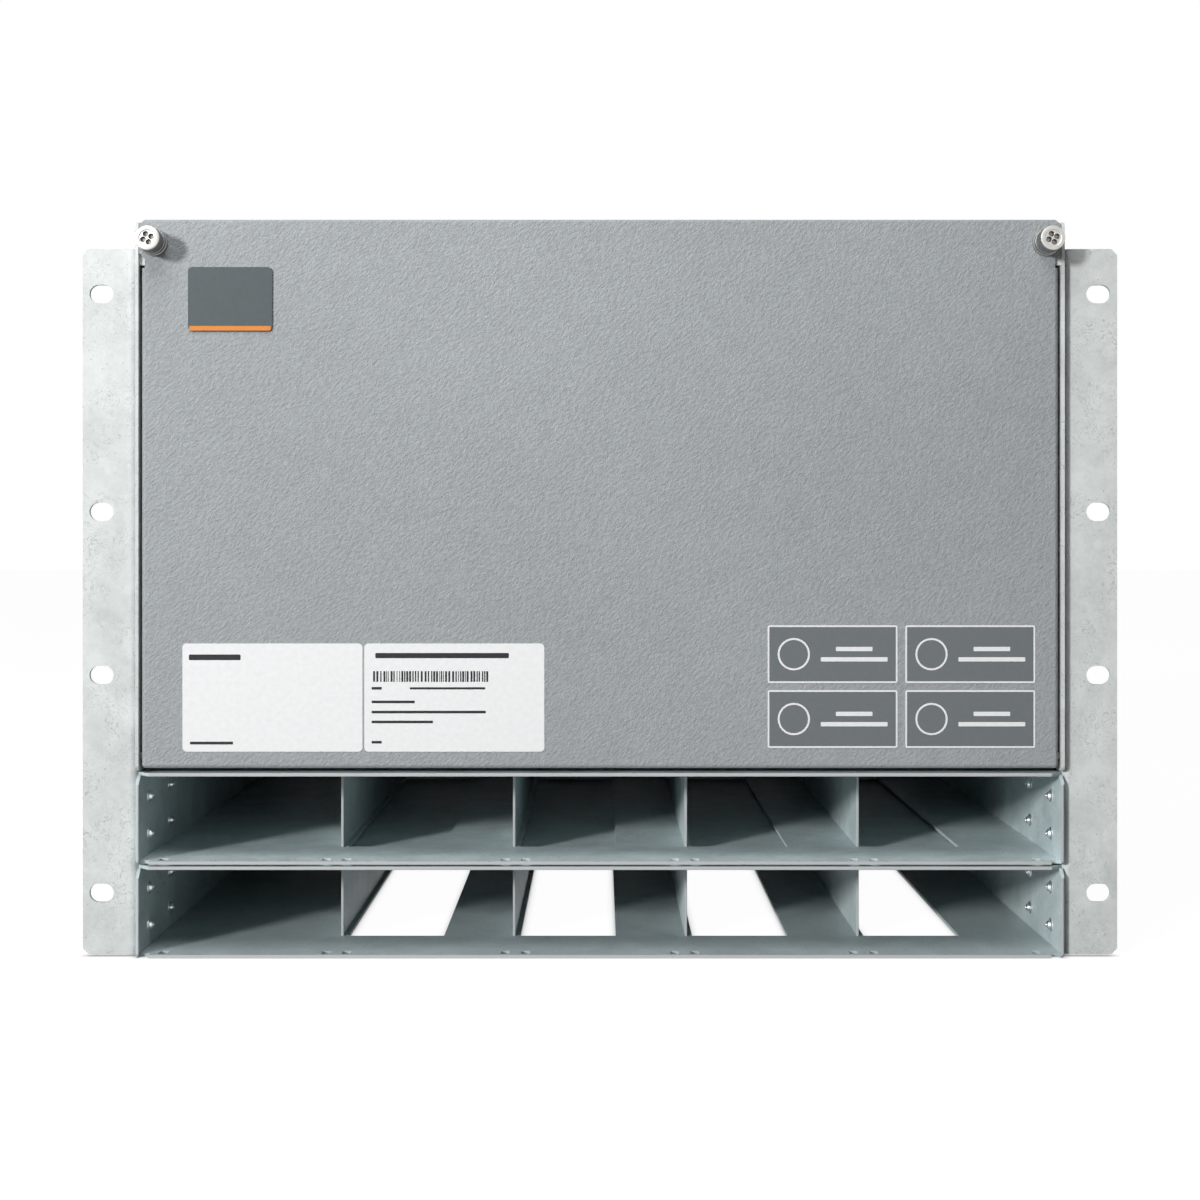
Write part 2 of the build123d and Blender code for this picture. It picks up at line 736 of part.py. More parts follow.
with BuildPart() as surge_cartridges:
    cartridge_height = 2 * (case_body_half - surge_arm_height - surge_gap)
    cartridge_rear_y = rail_front_y - surge_base_depth
    for i in range(surge_count):
        with Locations((surge_start_x + (i + 0.5) * module_width,
                        cartridge_rear_y - surge_cartridge_depth / 2, lower_rail_z)):
            Box(module_width - 2 * surge_gap, surge_cartridge_depth, cartridge_height)
    fillet(surge_cartridges.edges().filter_by(Axis.X).group_by(Axis.Y)[0], cartridge_radius)
finish(surge_cartridges, "surge_cartridges")

# Supply terminal block on the lower rail
with BuildPart() as ac_terminal_block:
    block_width = terminal_count * terminal_pitch
    with BuildSketch(Plane.YZ.offset(terminal_start_x)):
        with BuildLine():
            step = terminal_block_depth / 3
            Polyline((rail_front_y + rail_notch_depth, lower_rail_z + terminal_height / 2),
                     (rail_front_y - step, lower_rail_z + terminal_height / 2),
                     (rail_front_y - terminal_block_depth, lower_rail_z + terminal_height / 4),
                     (rail_front_y - terminal_block_depth, lower_rail_z - terminal_height / 4),
                     (rail_front_y - step, lower_rail_z - terminal_height / 2),
                     (rail_front_y + rail_notch_depth, lower_rail_z - terminal_height / 2),
                     (rail_front_y + rail_notch_depth, lower_rail_z - rail_notch_half),
                     (rail_front_y, lower_rail_z - rail_notch_half),
                     (rail_front_y, lower_rail_z + rail_notch_half),
                     (rail_front_y + rail_notch_depth, lower_rail_z + rail_notch_half), close=True)
        make_face()
    extrude(amount=block_width)
    well_y = rail_front_y - terminal_block_depth + terminal_depth / 2
    with Locations([(terminal_start_x + (i + 0.5) * terminal_pitch, well_y,
                     lower_rail_z + way * terminal_height / 8)
                    for i in range(terminal_count) for way in (-1, 1)]):
        Cylinder(terminal_well_radius, terminal_depth, rotation=(90, 0, 0), mode=Mode.SUBTRACT)
finish(ac_terminal_block, "ac_terminal_block")

# Signal board on four standoffs, with its two rows of connectors
board_rear_y = plate_front_y - standoff_length
with BuildPart() as signal_board:
    with Locations((board_x, board_rear_y - board_thickness / 2, lower_rail_z)):
        Box(board_width, board_thickness, board_tall)
    with Locations([(board_x, board_rear_y - board_thickness - connector_depth / 2,
                     lower_rail_z + way * (board_tall / 2 - connector_height)) for way in (-1, 1)]):
        Box(connector_width, connector_depth, connector_height)
finish(signal_board, "signal_board")

with BuildPart() as signal_board_standoffs:
    corner_x = board_width - 2 * standoff_inset
    corner_z = board_tall - 2 * standoff_inset
    with Locations([(board_x + sx * corner_x / 2, plate_front_y - standoff_length / 2,
                     lower_rail_z + sz * corner_z / 2) for sx in (-1, 1) for sz in (-1, 1)]):
        Cylinder(standoff_radius, standoff_length, rotation=(90, 0, 0))
finish(signal_board_standoffs, "signal_board_standoffs")

# Hinge pins: neck in the wall, journal in the cover's return, head inside
with BuildPart() as hinge_pins:
    for side in (-1, 1):
        with Locations((side * (inner_half - pin_reach / 2), hinge_y, hinge_z)):
            Cylinder(pin_radius, pin_reach, rotation=(0, 90, 0))
        with Locations((side * (inner_half + sheet / 2), hinge_y, hinge_z)):
            Cylinder(pin_neck_radius, sheet, rotation=(0, 90, 0))
        with Locations((side * (inner_half - pin_reach + pin_head_length / 2), hinge_y, hinge_z)):
            Cylinder(pin_head_radius, pin_head_length, rotation=(0, 90, 0))
finish(hinge_pins, "hinge_pins")

# Clinch nuts in the turned-in flanges
with BuildPart() as clinch_nuts:
    flange_rear_y = nut_flange_y + sheet
    for side in (-1, 1):
        with Locations((side * screw_x, flange_rear_y + nut_length / 2, screw_z)):
            Cylinder(nut_radius, nut_length, rotation=(90, 0, 0))
        with Locations((side * screw_x, flange_rear_y - sheet / 2, screw_z)):
            Cylinder(nut_barrel_radius, sheet, rotation=(90, 0, 0))
        with Locations((side * screw_x, (nut_flange_y + flange_rear_y + nut_length) / 2, screw_z)):
            Cylinder(shank_radius + nut_play, sheet + nut_length, rotation=(90, 0, 0), mode=Mode.SUBTRACT)
finish(clinch_nuts, "clinch_nuts")

# Earth stud through the rear panel
with BuildPart() as earth_stud:
    with Locations((stud_x, rear_y - sheet - stud_head_height / 2, stud_z)):
        Cylinder(stud_head_radius, stud_head_height, rotation=(90, 0, 0))
    with Locations((stud_x, rear_y - sheet / 2, stud_z)):
        Cylinder(stud_collar_radius, sheet, rotation=(90, 0, 0))
    with Locations((stud_x, rear_y + stud_reach / 2, stud_z)):
        Cylinder(stud_radius, stud_reach, rotation=(90, 0, 0))
finish(earth_stud, "earth_stud")

# Cover: a shallow folded pan that narrows at its neck and widens into two screw tabs
with BuildPart() as front_cover:
    with BuildSketch(Plane.XY.offset(cover_bottom)) as outline:
        with Locations((0, front_y + cover_return / 2)):
            Rectangle(cover_width, cover_return)
        fillet(outline.vertices().group_by(Axis.Y)[0], cover_bend)
    extrude(amount=return_top - cover_bottom)
    hollow_bottom = cover_bottom + cover_sheet
    with Locations((0, front_y + cover_sheet + cover_return / 2, (hollow_bottom + case_height) / 2)):
        Box(cover_width - 2 * cover_sheet, cover_return, case_height - hollow_bottom, mode=Mode.SUBTRACT)
    bottom_edges = front_cover.edges().group_by(Axis.Z)[0]
    fillet(bottom_edges.filter_by(lambda e: e.center().Y < front_y + cover_return - 1), cover_bend)
    with BuildSketch(face_plane(0)):
        with BuildLine():
            half_outline = [(neck_half, return_top), (neck_half, tab_start), (tab_half, tab_full),
                            (tab_half, case_height - tab_corner), (tab_half - tab_corner, case_height)]
            Polyline(half_outline + [(-x, z) for x, z in reversed(half_outline)], close=True)
        make_face()
        with Locations([(side * screw_x, screw_z) for side in (-1, 1)]):
            Circle(ferrule_barrel_radius + ferrule_play, mode=Mode.SUBTRACT)
    extrude(amount=-cover_sheet)
    with Locations((0, front_y + cover_return / 2, case_height - cover_sheet / 2)):
        Box(2 * top_return_half, cover_return, cover_sheet)
    top_edges = front_cover.edges().filter_by(Axis.X).group_by(Axis.Y)[0].sort_by(Axis.Z)
    fillet(top_edges[-1], cover_top_radius)
    with Locations([(side * (cover_width / 2 - cover_sheet / 2), hinge_y, hinge_z) for side in (-1, 1)]):
        Cylinder(pin_radius + pin_play, 2 * cover_sheet, rotation=(0, 90, 0), mode=Mode.SUBTRACT)
finish(front_cover, "front_cover")

# Ferrules pressed into the cover's tabs
with BuildPart() as ferrules:
    for side in (-1, 1):
        with Locations((side * screw_x, front_y - ferrule_height / 2, screw_z)):
            Cylinder(ferrule_radius, ferrule_height, rotation=(90, 0, 0))
        with Locations((side * screw_x, front_y + cover_sheet / 2, screw_z)):
            Cylinder(ferrule_barrel_radius, cover_sheet, rotation=(90, 0, 0))
        with Locations((side * screw_x, front_y + (cover_sheet - ferrule_height) / 2, screw_z)):
            Cylinder(shank_radius + shank_play, ferrule_height + cover_sheet, rotation=(90, 0, 0),
                     mode=Mode.SUBTRACT)
finish(ferrules, "ferrules")

# Badge plate, two label sheets and four notice plates on the cover's face
with BuildPart() as badge_plate:
    with BuildSketch(face_plane(0)):
        with Locations((badge_x, badge_z)):
            RectangleRounded(badge_width, badge_height, badge_radius)
    extrude(amount=badge_thickness)
finish(badge_plate, "badge_plate")

with BuildPart() as rating_labels:
    with BuildSketch(face_plane(0)):
        with Locations([(x, label_z) for x in label_xs]):
            RectangleRounded(label_width, label_height, label_radius)
    extrude(amount=label_thickness)
finish(rating_labels, "rating_labels")

with BuildPart() as notice_plates:
    with BuildSketch(face_plane(0)):
        with Locations((notice_x, notice_z)):
            with GridLocations(notice_pitch_x, notice_pitch_z, 2, 2):
                RectangleRounded(notice_width, notice_height, notice_radius)
    extrude(amount=label_thickness)
finish(notice_plates, "notice_plates")

# Thumbscrews: grooved knob with a lobed recess in its face, and the long shank
for side_name, side_sign in (("left", -1), ("right", 1)):
    knob_rear_y = front_y - ferrule_height - knob_gap
    knob_front_y = front_y - head_reach
    knob_length = knob_rear_y - knob_front_y
    shank_end_y = nut_flange_y + sheet + nut_length - knob_gap
    knob_plane = Plane(origin=(side_sign * screw_x, knob_rear_y, screw_z), x_dir=(1, 0, 0), z_dir=(0, -1, 0))
    with BuildPart() as thumbscrew:
        with BuildSketch(knob_plane):
            Circle(knob_radius)
        extrude(amount=knob_length)
        with BuildSketch(knob_plane.offset(knob_land)):
            with PolarLocations(knob_radius, knob_grooves):
                Rectangle(groove_size, groove_size, rotation=45)
        extrude(amount=knob_length - 2 * knob_land, mode=Mode.SUBTRACT)
        with BuildSketch(knob_plane.offset(knob_length)):
            Circle(face_recess_radius)
        extrude(amount=-face_recess_depth, mode=Mode.SUBTRACT)
        with BuildSketch(knob_plane.offset(knob_length - face_recess_depth)):
            with PolarLocations(lobe_offset, lobe_count, start_angle=lobe_turn):
                Circle(lobe_radius)
        extrude(amount=-lobe_depth, mode=Mode.SUBTRACT)
        with Locations((side_sign * screw_x, (knob_rear_y + shank_end_y) / 2, screw_z)):
            Cylinder(shank_radius, shank_end_y - knob_rear_y, rotation=(90, 0, 0))
    finish(thumbscrew, f"thumbscrew_{side_name}")
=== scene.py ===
"""Rack power shelf: the finishes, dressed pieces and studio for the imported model.

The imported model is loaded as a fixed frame. Every piece made here rides on one of its bodies.
Sizes are in metres, +Z is up and the shelf's front faces -Y.
"""
import json
from itertools import product
from math import cos, pi, radians, sin

import bmesh
import bpy
import numpy as np
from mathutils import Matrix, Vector

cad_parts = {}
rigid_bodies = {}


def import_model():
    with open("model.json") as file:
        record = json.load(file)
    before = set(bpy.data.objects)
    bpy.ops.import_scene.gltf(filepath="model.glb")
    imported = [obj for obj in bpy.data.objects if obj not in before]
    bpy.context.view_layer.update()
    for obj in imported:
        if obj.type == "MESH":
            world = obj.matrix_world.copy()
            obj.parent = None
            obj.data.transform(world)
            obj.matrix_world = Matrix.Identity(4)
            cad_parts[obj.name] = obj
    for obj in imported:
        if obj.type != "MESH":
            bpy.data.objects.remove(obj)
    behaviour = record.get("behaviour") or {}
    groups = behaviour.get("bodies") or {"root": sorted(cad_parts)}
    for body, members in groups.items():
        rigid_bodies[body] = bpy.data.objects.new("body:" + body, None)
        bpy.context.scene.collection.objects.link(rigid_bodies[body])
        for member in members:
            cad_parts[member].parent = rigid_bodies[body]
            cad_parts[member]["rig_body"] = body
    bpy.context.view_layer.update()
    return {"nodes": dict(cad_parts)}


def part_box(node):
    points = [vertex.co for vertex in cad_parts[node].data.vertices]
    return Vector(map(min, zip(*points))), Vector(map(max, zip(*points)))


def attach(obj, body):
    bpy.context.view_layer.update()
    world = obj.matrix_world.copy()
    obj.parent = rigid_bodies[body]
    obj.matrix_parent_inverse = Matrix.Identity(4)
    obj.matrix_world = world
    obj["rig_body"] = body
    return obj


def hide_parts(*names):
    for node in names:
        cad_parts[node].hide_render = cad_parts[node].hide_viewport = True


bl_info = {
    "name": "Rack Power Shelf",
    "version": (1, 0, 0),
    "blender": (4, 5, 0),
    "location": "View3D > Sidebar > Power Shelf",
    "description": "Dresses the rack power shelf: sheet metal, cover, thumbscrews, print, breakers, studio",
    "category": "Object",
}

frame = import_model()

MM = 0.001
SIDES = (("left", -1), ("right", 1))
FACE_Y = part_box("front_cover")[0].y
SHEET_NODES = (
    "lower_cage_tray", "upper_cage_tray", "lower_cage_roof", "upper_cage_roof",
    *(f"{row}_divider_{i}" for row in ("lower", "upper") for i in range(1, 5)),
)
ZINC_NODES = (
    "rack_ear_left", "rack_ear_right", "enclosure_shell", "top_panel", "rear_panel",
    "mounting_plate", "din_rail_upper", "din_rail_lower",
)
CASE_NODES = ("load_breaker_cases", "battery_breaker_cases", "ac_breaker_cases",
              "surge_protector_base", "ac_terminal_block")
TOGGLE_NODES = tuple(name for name in frame["nodes"] if "_toggle_" in name)

# Heights of the rivets, how far in from their node's ends they sit, and how far its heads stand out
RIVET_ROWS = (0.0115, 0.0294, 0.0549, 0.0728, 0.1400, 0.2800)
RIVET_SET_BACK = 2.7 * MM
RIVET_STAND = 1.6 * MM


# Settings

def length(name, description, default):
    """A length property in metres."""
    return bpy.props.FloatProperty(name=name, description=description, default=default,
                                   unit="LENGTH", precision=5)


def colour(name, description, default):
    """A colour property, with its default in linear light."""
    return bpy.props.FloatVectorProperty(name=name, description=description, default=default,
                                         size=3, min=0.0, max=1.0, subtype="COLOR")


class ShelfSizes(bpy.types.PropertyGroup):
    """Sizes of the dressed pieces."""

    sheet_edge: length("Sheet edge", "Rounding of the cut edges of folded sheet", 0.00018)
    case_edge: length("Moulded edge", "Rounding of the edges of moulded pieces", 0.0005)
    rivet_head: length("Rivet head", "Radius of the flange under a rivet's dome", 0.0031)
    knob_radius: length("Knob radius", "Radius of a thumbscrew's knob", 0.0057)
    groove_depth: length("Groove depth", "Depth of the grooves round a knob", 0.00022)
    frame_line: length("Frame line", "Width of the light line round a notice plate", 0.0008)
    print_rise: length("Print rise", "Height of print above its plate", 0.00005)


class ShelfColours(bpy.types.PropertyGroup):
    """Colours of the finishes."""

    cover: colour("Cover", "Powder coat of the cover", (0.338, 0.360, 0.370))
    zinc: colour("Galvanised sheet", "Light zinc of the ears and the box", (0.685, 0.718, 0.710))
    cage: colour("Cage sheet", "Darker zinc of the module cages", (0.580, 0.670, 0.684))
    cut: colour("Cut edge", "Bright cut edge of the cage sheet", (0.560, 0.575, 0.575))
    nickel: colour("Nickel", "Plated screws and nuts", (0.610, 0.592, 0.566))
    badge: colour("Badge", "Dark ground of the badge", (0.087, 0.105, 0.112))
    stripe: colour("Badge stripe", "Stripe along the badge's foot", (0.780, 0.260, 0.042))
    notice: colour("Notice plate", "Dark ground of the notice plates", (0.165, 0.182, 0.190))
    paper: colour("Label", "White of the label sheets", (0.925, 0.930, 0.935))


class ShelfStudio(bpy.types.PropertyGroup):
    """Camera and light of the studio."""

    distance: length("Camera distance", "From the camera to the cover's face", 0.800)
    height: length("Camera height", "Height of the camera above the floor", 0.1918)
    lens: bpy.props.FloatProperty(name="Lens", description="Focal length of the camera in millimetres",
                                  default=51.7)
    shift: bpy.props.FloatProperty(name="Shift", description="Vertical shift of the camera's frame",
                                   default=-0.0458)
    key_power: bpy.props.FloatProperty(name="Key power", description="Power of the key lamp", default=168.0,
                                       unit="POWER")
    fill_power: bpy.props.FloatProperty(name="Fill power", description="Power of the fill lamp",
                                        default=4.0, unit="POWER")
    sky: bpy.props.FloatProperty(name="Sky", description="Strength of the even light all round",
                                 default=0.035)


# Node trees

class Finish:
    """A material whose nodes are added and joined in short calls."""

    def __init__(self, name, roughness=0.5, metallic=0.0):
        self.material = bpy.data.materials.new(name)
        self.material.use_nodes = True
        self.tree = self.material.node_tree
        self.shader = self.tree.nodes["Principled BSDF"]
        self.shader.inputs["Roughness"].default_value = roughness
        self.shader.inputs["Metallic"].default_value = metallic
        self.place = self.add("ShaderNodeTexCoord").outputs["Object"]

    def add(self, kind, inputs=None, **settings):
        """Add a node, set its settings, and set or join its inputs."""
        made = self.tree.nodes.new(kind)
        for key, value in settings.items():
            setattr(made, key, value)
        for key, value in (inputs or {}).items():
            if isinstance(value, bpy.types.NodeSocket):
                self.tree.links.new(value, made.inputs[key])
            else:
                made.inputs[key].default_value = value
        return made

    def stretched(self, scale):
        """The object coordinates, stretched by a scale along each axis."""
        return self.add("ShaderNodeMapping", {"Vector": self.place, "Scale": scale}).outputs["Vector"]

    def pushed(self, vector, scale, reach):
        """Coordinates pushed aside by noise of a scale, up to a reach in metres."""
        noise = self.add("ShaderNodeTexNoise", {"Vector": self.place, "Scale": scale}).outputs["Color"]
        return self.add("ShaderNodeVectorMath", {0: noise, 1: (reach, reach, reach), 2: vector},
                        operation="MULTIPLY_ADD").outputs["Vector"]

    def noise(self, scale, detail=2.0, rough=0.5, distortion=0.0, vector=None):
        """A noise pattern; its scale is in cycles a metre."""
        return self.add("ShaderNodeTexNoise", {
            "Vector": vector or self.place, "Scale": scale, "Detail": detail, "Roughness": rough,
            "Distortion": distortion}).outputs["Fac"]

    def cells(self, scale, vector=None, output="Distance", feature="F1"):
        """A pattern of cells; its scale is in cells a metre."""
        return self.add("ShaderNodeTexVoronoi", {"Vector": vector or self.place, "Scale": scale},
                        feature=feature).outputs[output]

    def between(self, value, low, high, to_low=0.0, to_high=1.0):
        """A value taken from one range to another, held at the ends."""
        return self.add("ShaderNodeMapRange", {
            "Value": value, "From Min": low, "From Max": high, "To Min": to_low,
            "To Max": to_high}).outputs["Result"]

    def sum(self, first, second, share=1.0):
        """The first value plus a share of the second."""
        return self.add("ShaderNodeMath", {0: second, 1: share, 2: first},
                        operation="MULTIPLY_ADD").outputs["Value"]

    def blend(self, share, first, second):
        """A colour between two colours."""
        mix = self.add("ShaderNodeMix", data_type="RGBA")
        for index, value in ((0, share), (6, first), (7, second)):
            if isinstance(value, bpy.types.NodeSocket):
                self.tree.links.new(value, mix.inputs[index])
            else:
                mix.inputs[index].default_value = value
        return mix.outputs[2]

    def colour(self, value):
        """Set or join the base colour."""
        self.join("Base Color", value)

    def join(self, name, value):
        """Set or join one input of the shader."""
        if isinstance(value, bpy.types.NodeSocket):
            self.tree.links.new(value, self.shader.inputs[name])
        else:
            self.shader.inputs[name].default_value = value

    def bump(self, height, depth, strength):
        """Bump of a depth in metres."""
        made = self.add("ShaderNodeBump", {"Height": height, "Distance": depth, "Strength": strength})
        self.join("Normal", made.outputs["Normal"])


def opaque(tone, share=1.0):
    """A colour setting as four numbers, darkened or lightened by a share."""
    return tuple(min(1.0, c * share) for c in tone) + (1.0,)


def powder_coat(colours):
    """Grey powder coat: leathery wrinkles that run aslant, over slow changes of tone."""
    coat = Finish("cover_paint", roughness=0.55)
    slant = coat.add("ShaderNodeMapping", {
        "Vector": coat.place, "Rotation": (0.0, radians(-42), 0.0), "Scale": (1.7, 1.0, 1.0)},
        vector_type="TEXTURE").outputs["Vector"]
    bent = coat.pushed(slant, 420.0, 0.0009)
    wrinkles = coat.noise(820.0, 2.0, 0.6, 0.3, bent)
    grain = coat.sum(wrinkles, coat.noise(1400.0, 2.0, 0.6), 0.35)
    tone = coat.sum(coat.sum(wrinkles, coat.noise(7.0, 3.0), 0.35), coat.noise(70.0, 3.0), 0.25)
    coat.colour(coat.blend(coat.between(tone, 0.55, 1.05), opaque(colours.cover, 0.86),
                           opaque(colours.cover, 1.14)))
    coat.join("Roughness", coat.between(coat.noise(500.0, 2.0), 0.3, 0.7, 0.50, 0.62))
    coat.bump(grain, 0.00042, 1.0)
    return coat.material


def zinc_sheet(name, tone, metallic, roughness, cut=None, cut_y=0.0):
    """Zinc-coated sheet: cloudy spangle, curled hairlines, scuffs and rolling lines.

    With a cut colour, what lies in front of a plane across Y has the bright look of a cut edge, and the
    lowest floor is darkened towards a share of the tone as painted shade.
    """
    zinc = Finish(name, roughness=roughness, metallic=metallic)
    cloud = zinc.noise(42.0, 5.0, 0.62, 0.6)
    grey = zinc.add("ShaderNodeRGBToBW", {"Color": zinc.cells(260.0, output="Color")}).outputs["Val"]
    specks = zinc.noise(620.0, 3.0, 0.6)
    shade = zinc.sum(zinc.sum(cloud, grey, 0.12), specks, 0.30)
    base = zinc.blend(zinc.between(shade, 0.48, 0.90), opaque(tone, 0.84), opaque(tone, 1.10))
    curl = zinc.add("ShaderNodeMath", {0: zinc.noise(150.0, 2.0, 0.5, 2.4), 1: 0.5, 2: 0.016},
                    operation="COMPARE").outputs["Value"]
    share = zinc.add("ShaderNodeMath", {0: curl, 1: zinc.between(zinc.noise(60.0), 0.38, 0.58, 0.0, 0.85)},
                     operation="MULTIPLY").outputs["Value"]
    base = zinc.blend(share, base, opaque(tone, 0.70))
    pits = zinc.between(zinc.cells(190.0), 0.075, 0.045, 0.0, 0.7)
    base = zinc.blend(pits, base, opaque(tone, 0.45))
    scuff = zinc.between(zinc.noise(150.0, 6.0, 0.72, 1.4), 0.66, 0.73, 0.0, 0.35)
    base = zinc.blend(scuff, base, opaque(tone, 1.20))
    if cut is not None:
        along = zinc.add("ShaderNodeSeparateXYZ", {"Vector": zinc.place}).outputs
        # Painted shade: the lowest floor, up to a few millimetres high, is darkened towards a share of the
        # tone.
        low_floor_shade = zinc.between(along["Z"], 3.0 * MM, 1.6 * MM, 0.0, 0.38)
        base = zinc.blend(low_floor_shade, base, opaque(tone, 0.45))
        bare = zinc.between(along["Y"], cut_y + 0.22 * MM, cut_y + 0.08 * MM)
        base = zinc.blend(bare, base, opaque(cut))
    zinc.colour(base)
    zinc.join("Roughness", zinc.between(shade, 0.45, 0.95, roughness - 0.07, roughness + 0.09))
    lines = zinc.noise(900.0, 2.0, 0.5, 0.0, zinc.stretched((1.0, 0.03, 1.0)))
    zinc.bump(zinc.sum(specks, lines, 0.6), 0.00006, 0.5)
    zinc.join("Specular IOR Level", 0.35)
    return zinc.material


def plated(name, tone, roughness, shade_share=0.16):
    """Plated metal with faint turning marks and slight changes of gloss.

    Painted shade: an ambient-occlusion node darkens its hollows to a share of the tone.
    """
    metal = Finish(name, roughness=roughness, metallic=1.0)
    marks = metal.noise(2600.0, 3.0, 0.6)
    unshaded_tone = metal.blend(metal.between(metal.noise(300.0, 3.0), 0.3, 0.7), opaque(tone, 0.92),
                        opaque(tone, 1.05))
    # Painted shade: grooves, lobes, recesses and the feet of heads are darkened by ambient occlusion.
    painted_shade_mask = metal.add("ShaderNodeAmbientOcclusion", {"Distance": 0.003}).outputs["AO"]
    metal.colour(metal.blend(metal.between(painted_shade_mask, 0.30, 0.80), opaque(tone, shade_share), unshaded_tone))
    metal.join("Roughness", metal.between(marks, 0.3, 0.7, roughness - 0.06, roughness + 0.08))
    metal.bump(marks, 0.00002, 0.35)
    return metal.material


def moulded(name, tone, roughness=0.45):
    """Moulded plastic with a fine spark-eroded texture."""
    plastic = Finish(name, roughness=roughness)
    spark = plastic.noise(3200.0, 3.0, 0.6)
    plastic.colour(plastic.blend(plastic.between(plastic.noise(60.0, 3.0), 0.3, 0.7), opaque(tone, 0.95),
                                 opaque(tone, 1.05)))
    plastic.join("Roughness", plastic.between(spark, 0.3, 0.7, roughness - 0.05, roughness + 0.07))
    plastic.bump(spark, 0.00003, 0.4)
    return plastic.material


def copper_bar():
    """Bare copper with drawn lines and patches of darker oxide."""
    bar = Finish("copper_bar", roughness=0.33, metallic=1.0)
    oxide = bar.between(bar.noise(70.0, 5.0, 0.6, 0.8), 0.40, 0.75)
    bar.colour(bar.blend(oxide, (0.80, 0.42, 0.27, 1.0), (0.50, 0.23, 0.13, 1.0)))
    bar.join("Roughness", bar.between(oxide, 0.0, 1.0, 0.26, 0.45))
    bar.bump(bar.noise(1500.0, 2.0, 0.5, 0.0, bar.stretched((0.02, 1.0, 1.0))), 0.00003, 0.4)
    return bar.material


def board_laminate():
    """Green solder mask over faint tracks."""
    board = Finish("board_laminate", roughness=0.35)
    tracks = board.between(board.cells(260.0, feature="DISTANCE_TO_EDGE"), 0.0, 0.16)
    board.colour(board.blend(tracks, (0.050, 0.220, 0.110, 1.0), (0.018, 0.110, 0.050, 1.0)))
    board.bump(tracks, 0.00003, 0.4)
    return board.material


def printed(name, tone, roughness=0.42):
    """Printed film with a soft sheen and a faint mottle."""
    film = Finish(name, roughness=roughness)
    mottle = film.noise(420.0, 3.0)
    film.colour(film.blend(film.between(mottle, 0.3, 0.7), opaque(tone, 0.97), opaque(tone, 1.03)))
    film.join("Roughness", film.between(mottle, 0.3, 0.7, roughness - 0.04, roughness + 0.05))
    film.bump(mottle, 0.00002, 0.25)
    film.join("Specular IOR Level", 0.3)
    return film.material


FINISHES = {}


def dress(piece, finish):
    """Give a piece one finish in all its slots."""
    piece.data.materials.clear()
    piece.data.materials.append(FINISHES[finish])


def sheet_finish(name):
    """Finish of a cage's sheet."""
    return "divider" if "divider" in name else "cage"


# Meshes

def new_piece(name, vertices, faces, body, finish, replaces=(), smooth=True):
    """Make a mesh object from arrays, with its faces outwards, and let it ride on a body."""
    mesh = bpy.data.meshes.new(name)
    mesh.from_pydata(np.asarray(vertices).tolist(), [], [tuple(f) for f in faces])
    mesh.validate()
    made = bmesh.new()
    made.from_mesh(mesh)
    bmesh.ops.remove_doubles(made, verts=made.verts, dist=1e-7)
    bmesh.ops.recalc_face_normals(made, faces=made.faces)
    made.to_mesh(mesh)
    made.free()
    mesh.polygons.foreach_set("use_smooth", [smooth] * len(mesh.polygons))
    piece = bpy.data.objects.new(name, mesh)
    bpy.context.scene.collection.objects.link(piece)
    dress(piece, finish)
    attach(piece, body)
    if replaces:
        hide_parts(*replaces)
    return piece


def sharpen(piece, angle=40.0):
    """Keep edges over an angle sharp under smooth shading."""
    piece.data.set_sharp_from_angle(angle=radians(angle))


def edged_copy(node, edge, parting="BEAUTY"):
    """A merged copy of a CAD node whose edges are rounded by a bevel; it stands for the node.

    Parting names the way that a face with more than four corners is cut into triangles.
    """
    source = frame["nodes"][node]
    made = bmesh.new()
    made.from_mesh(source.data)
    bmesh.ops.remove_doubles(made, verts=made.verts, dist=2e-6)
    bmesh.ops.dissolve_limit(made, angle_limit=radians(0.4), verts=made.verts, edges=made.edges)
    bmesh.ops.triangulate(made, faces=[face for face in made.faces if len(face.verts) > 4],
                          ngon_method=parting)
    mesh = bpy.data.meshes.new(f"{node}_edged")
    made.to_mesh(mesh)
    made.free()
    mesh.polygons.foreach_set("use_smooth", [True] * len(mesh.polygons))
    piece = bpy.data.objects.new(f"{node}_edged", mesh)
    bpy.context.scene.collection.objects.link(piece)
    bevel = piece.modifiers.new("edges", "BEVEL")
    bevel.width = edge
    bevel.segments = 2
    bevel.limit_method = "ANGLE"
    bevel.angle_limit = radians(32)
    bevel.use_clamp_overlap = True
    bevel.miter_outer = "MITER_ARC"
    weighted = piece.modifiers.new("normals", "WEIGHTED_NORMAL")
    weighted.weight = 100
    weighted.keep_sharp = True
    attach(piece, source["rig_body"])
    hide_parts(node)
    return piece


def grid_faces(rows, columns):
    """Quads of a grid of rows by columns, whose last column joins the first."""
    row, column = np.meshgrid(np.arange(rows - 1), np.arange(columns), indexing="ij")
    after = (column + 1) % columns
    return np.stack([row * columns + column, row * columns + after, (row + 1) * columns + after,
                     (row + 1) * columns + column], axis=-1).reshape(-1, 4)


def turned(profile, turns, shape=None):
    """Surface of revolution about Y: profile rows are (radius, y).

    Point (i, j) is radius_i * shape_ij round the axis at angle 2 pi j / turns, at height y_i.
    """
    radius, height = np.asarray(profile, float).T
    angle = np.linspace(0, 2 * pi, turns, endpoint=False)
    spread = radius[:, None] * (np.ones((len(radius), turns)) if shape is None else shape)
    points = np.stack([spread * np.cos(angle), np.repeat(height[:, None], turns, 1),
                       spread * np.sin(angle)], axis=-1)
    return points.reshape(-1, 3), grid_faces(len(radius), turns)


def gathered(parts):
    """Several (points, faces) as one."""
    points, faces, start = [], [], 0
    for part_points, part_faces in parts:
        points.append(part_points)
        faces.extend((np.asarray(face) + start).tolist() for face in part_faces)
        start += len(part_points)
    return np.concatenate(points), faces


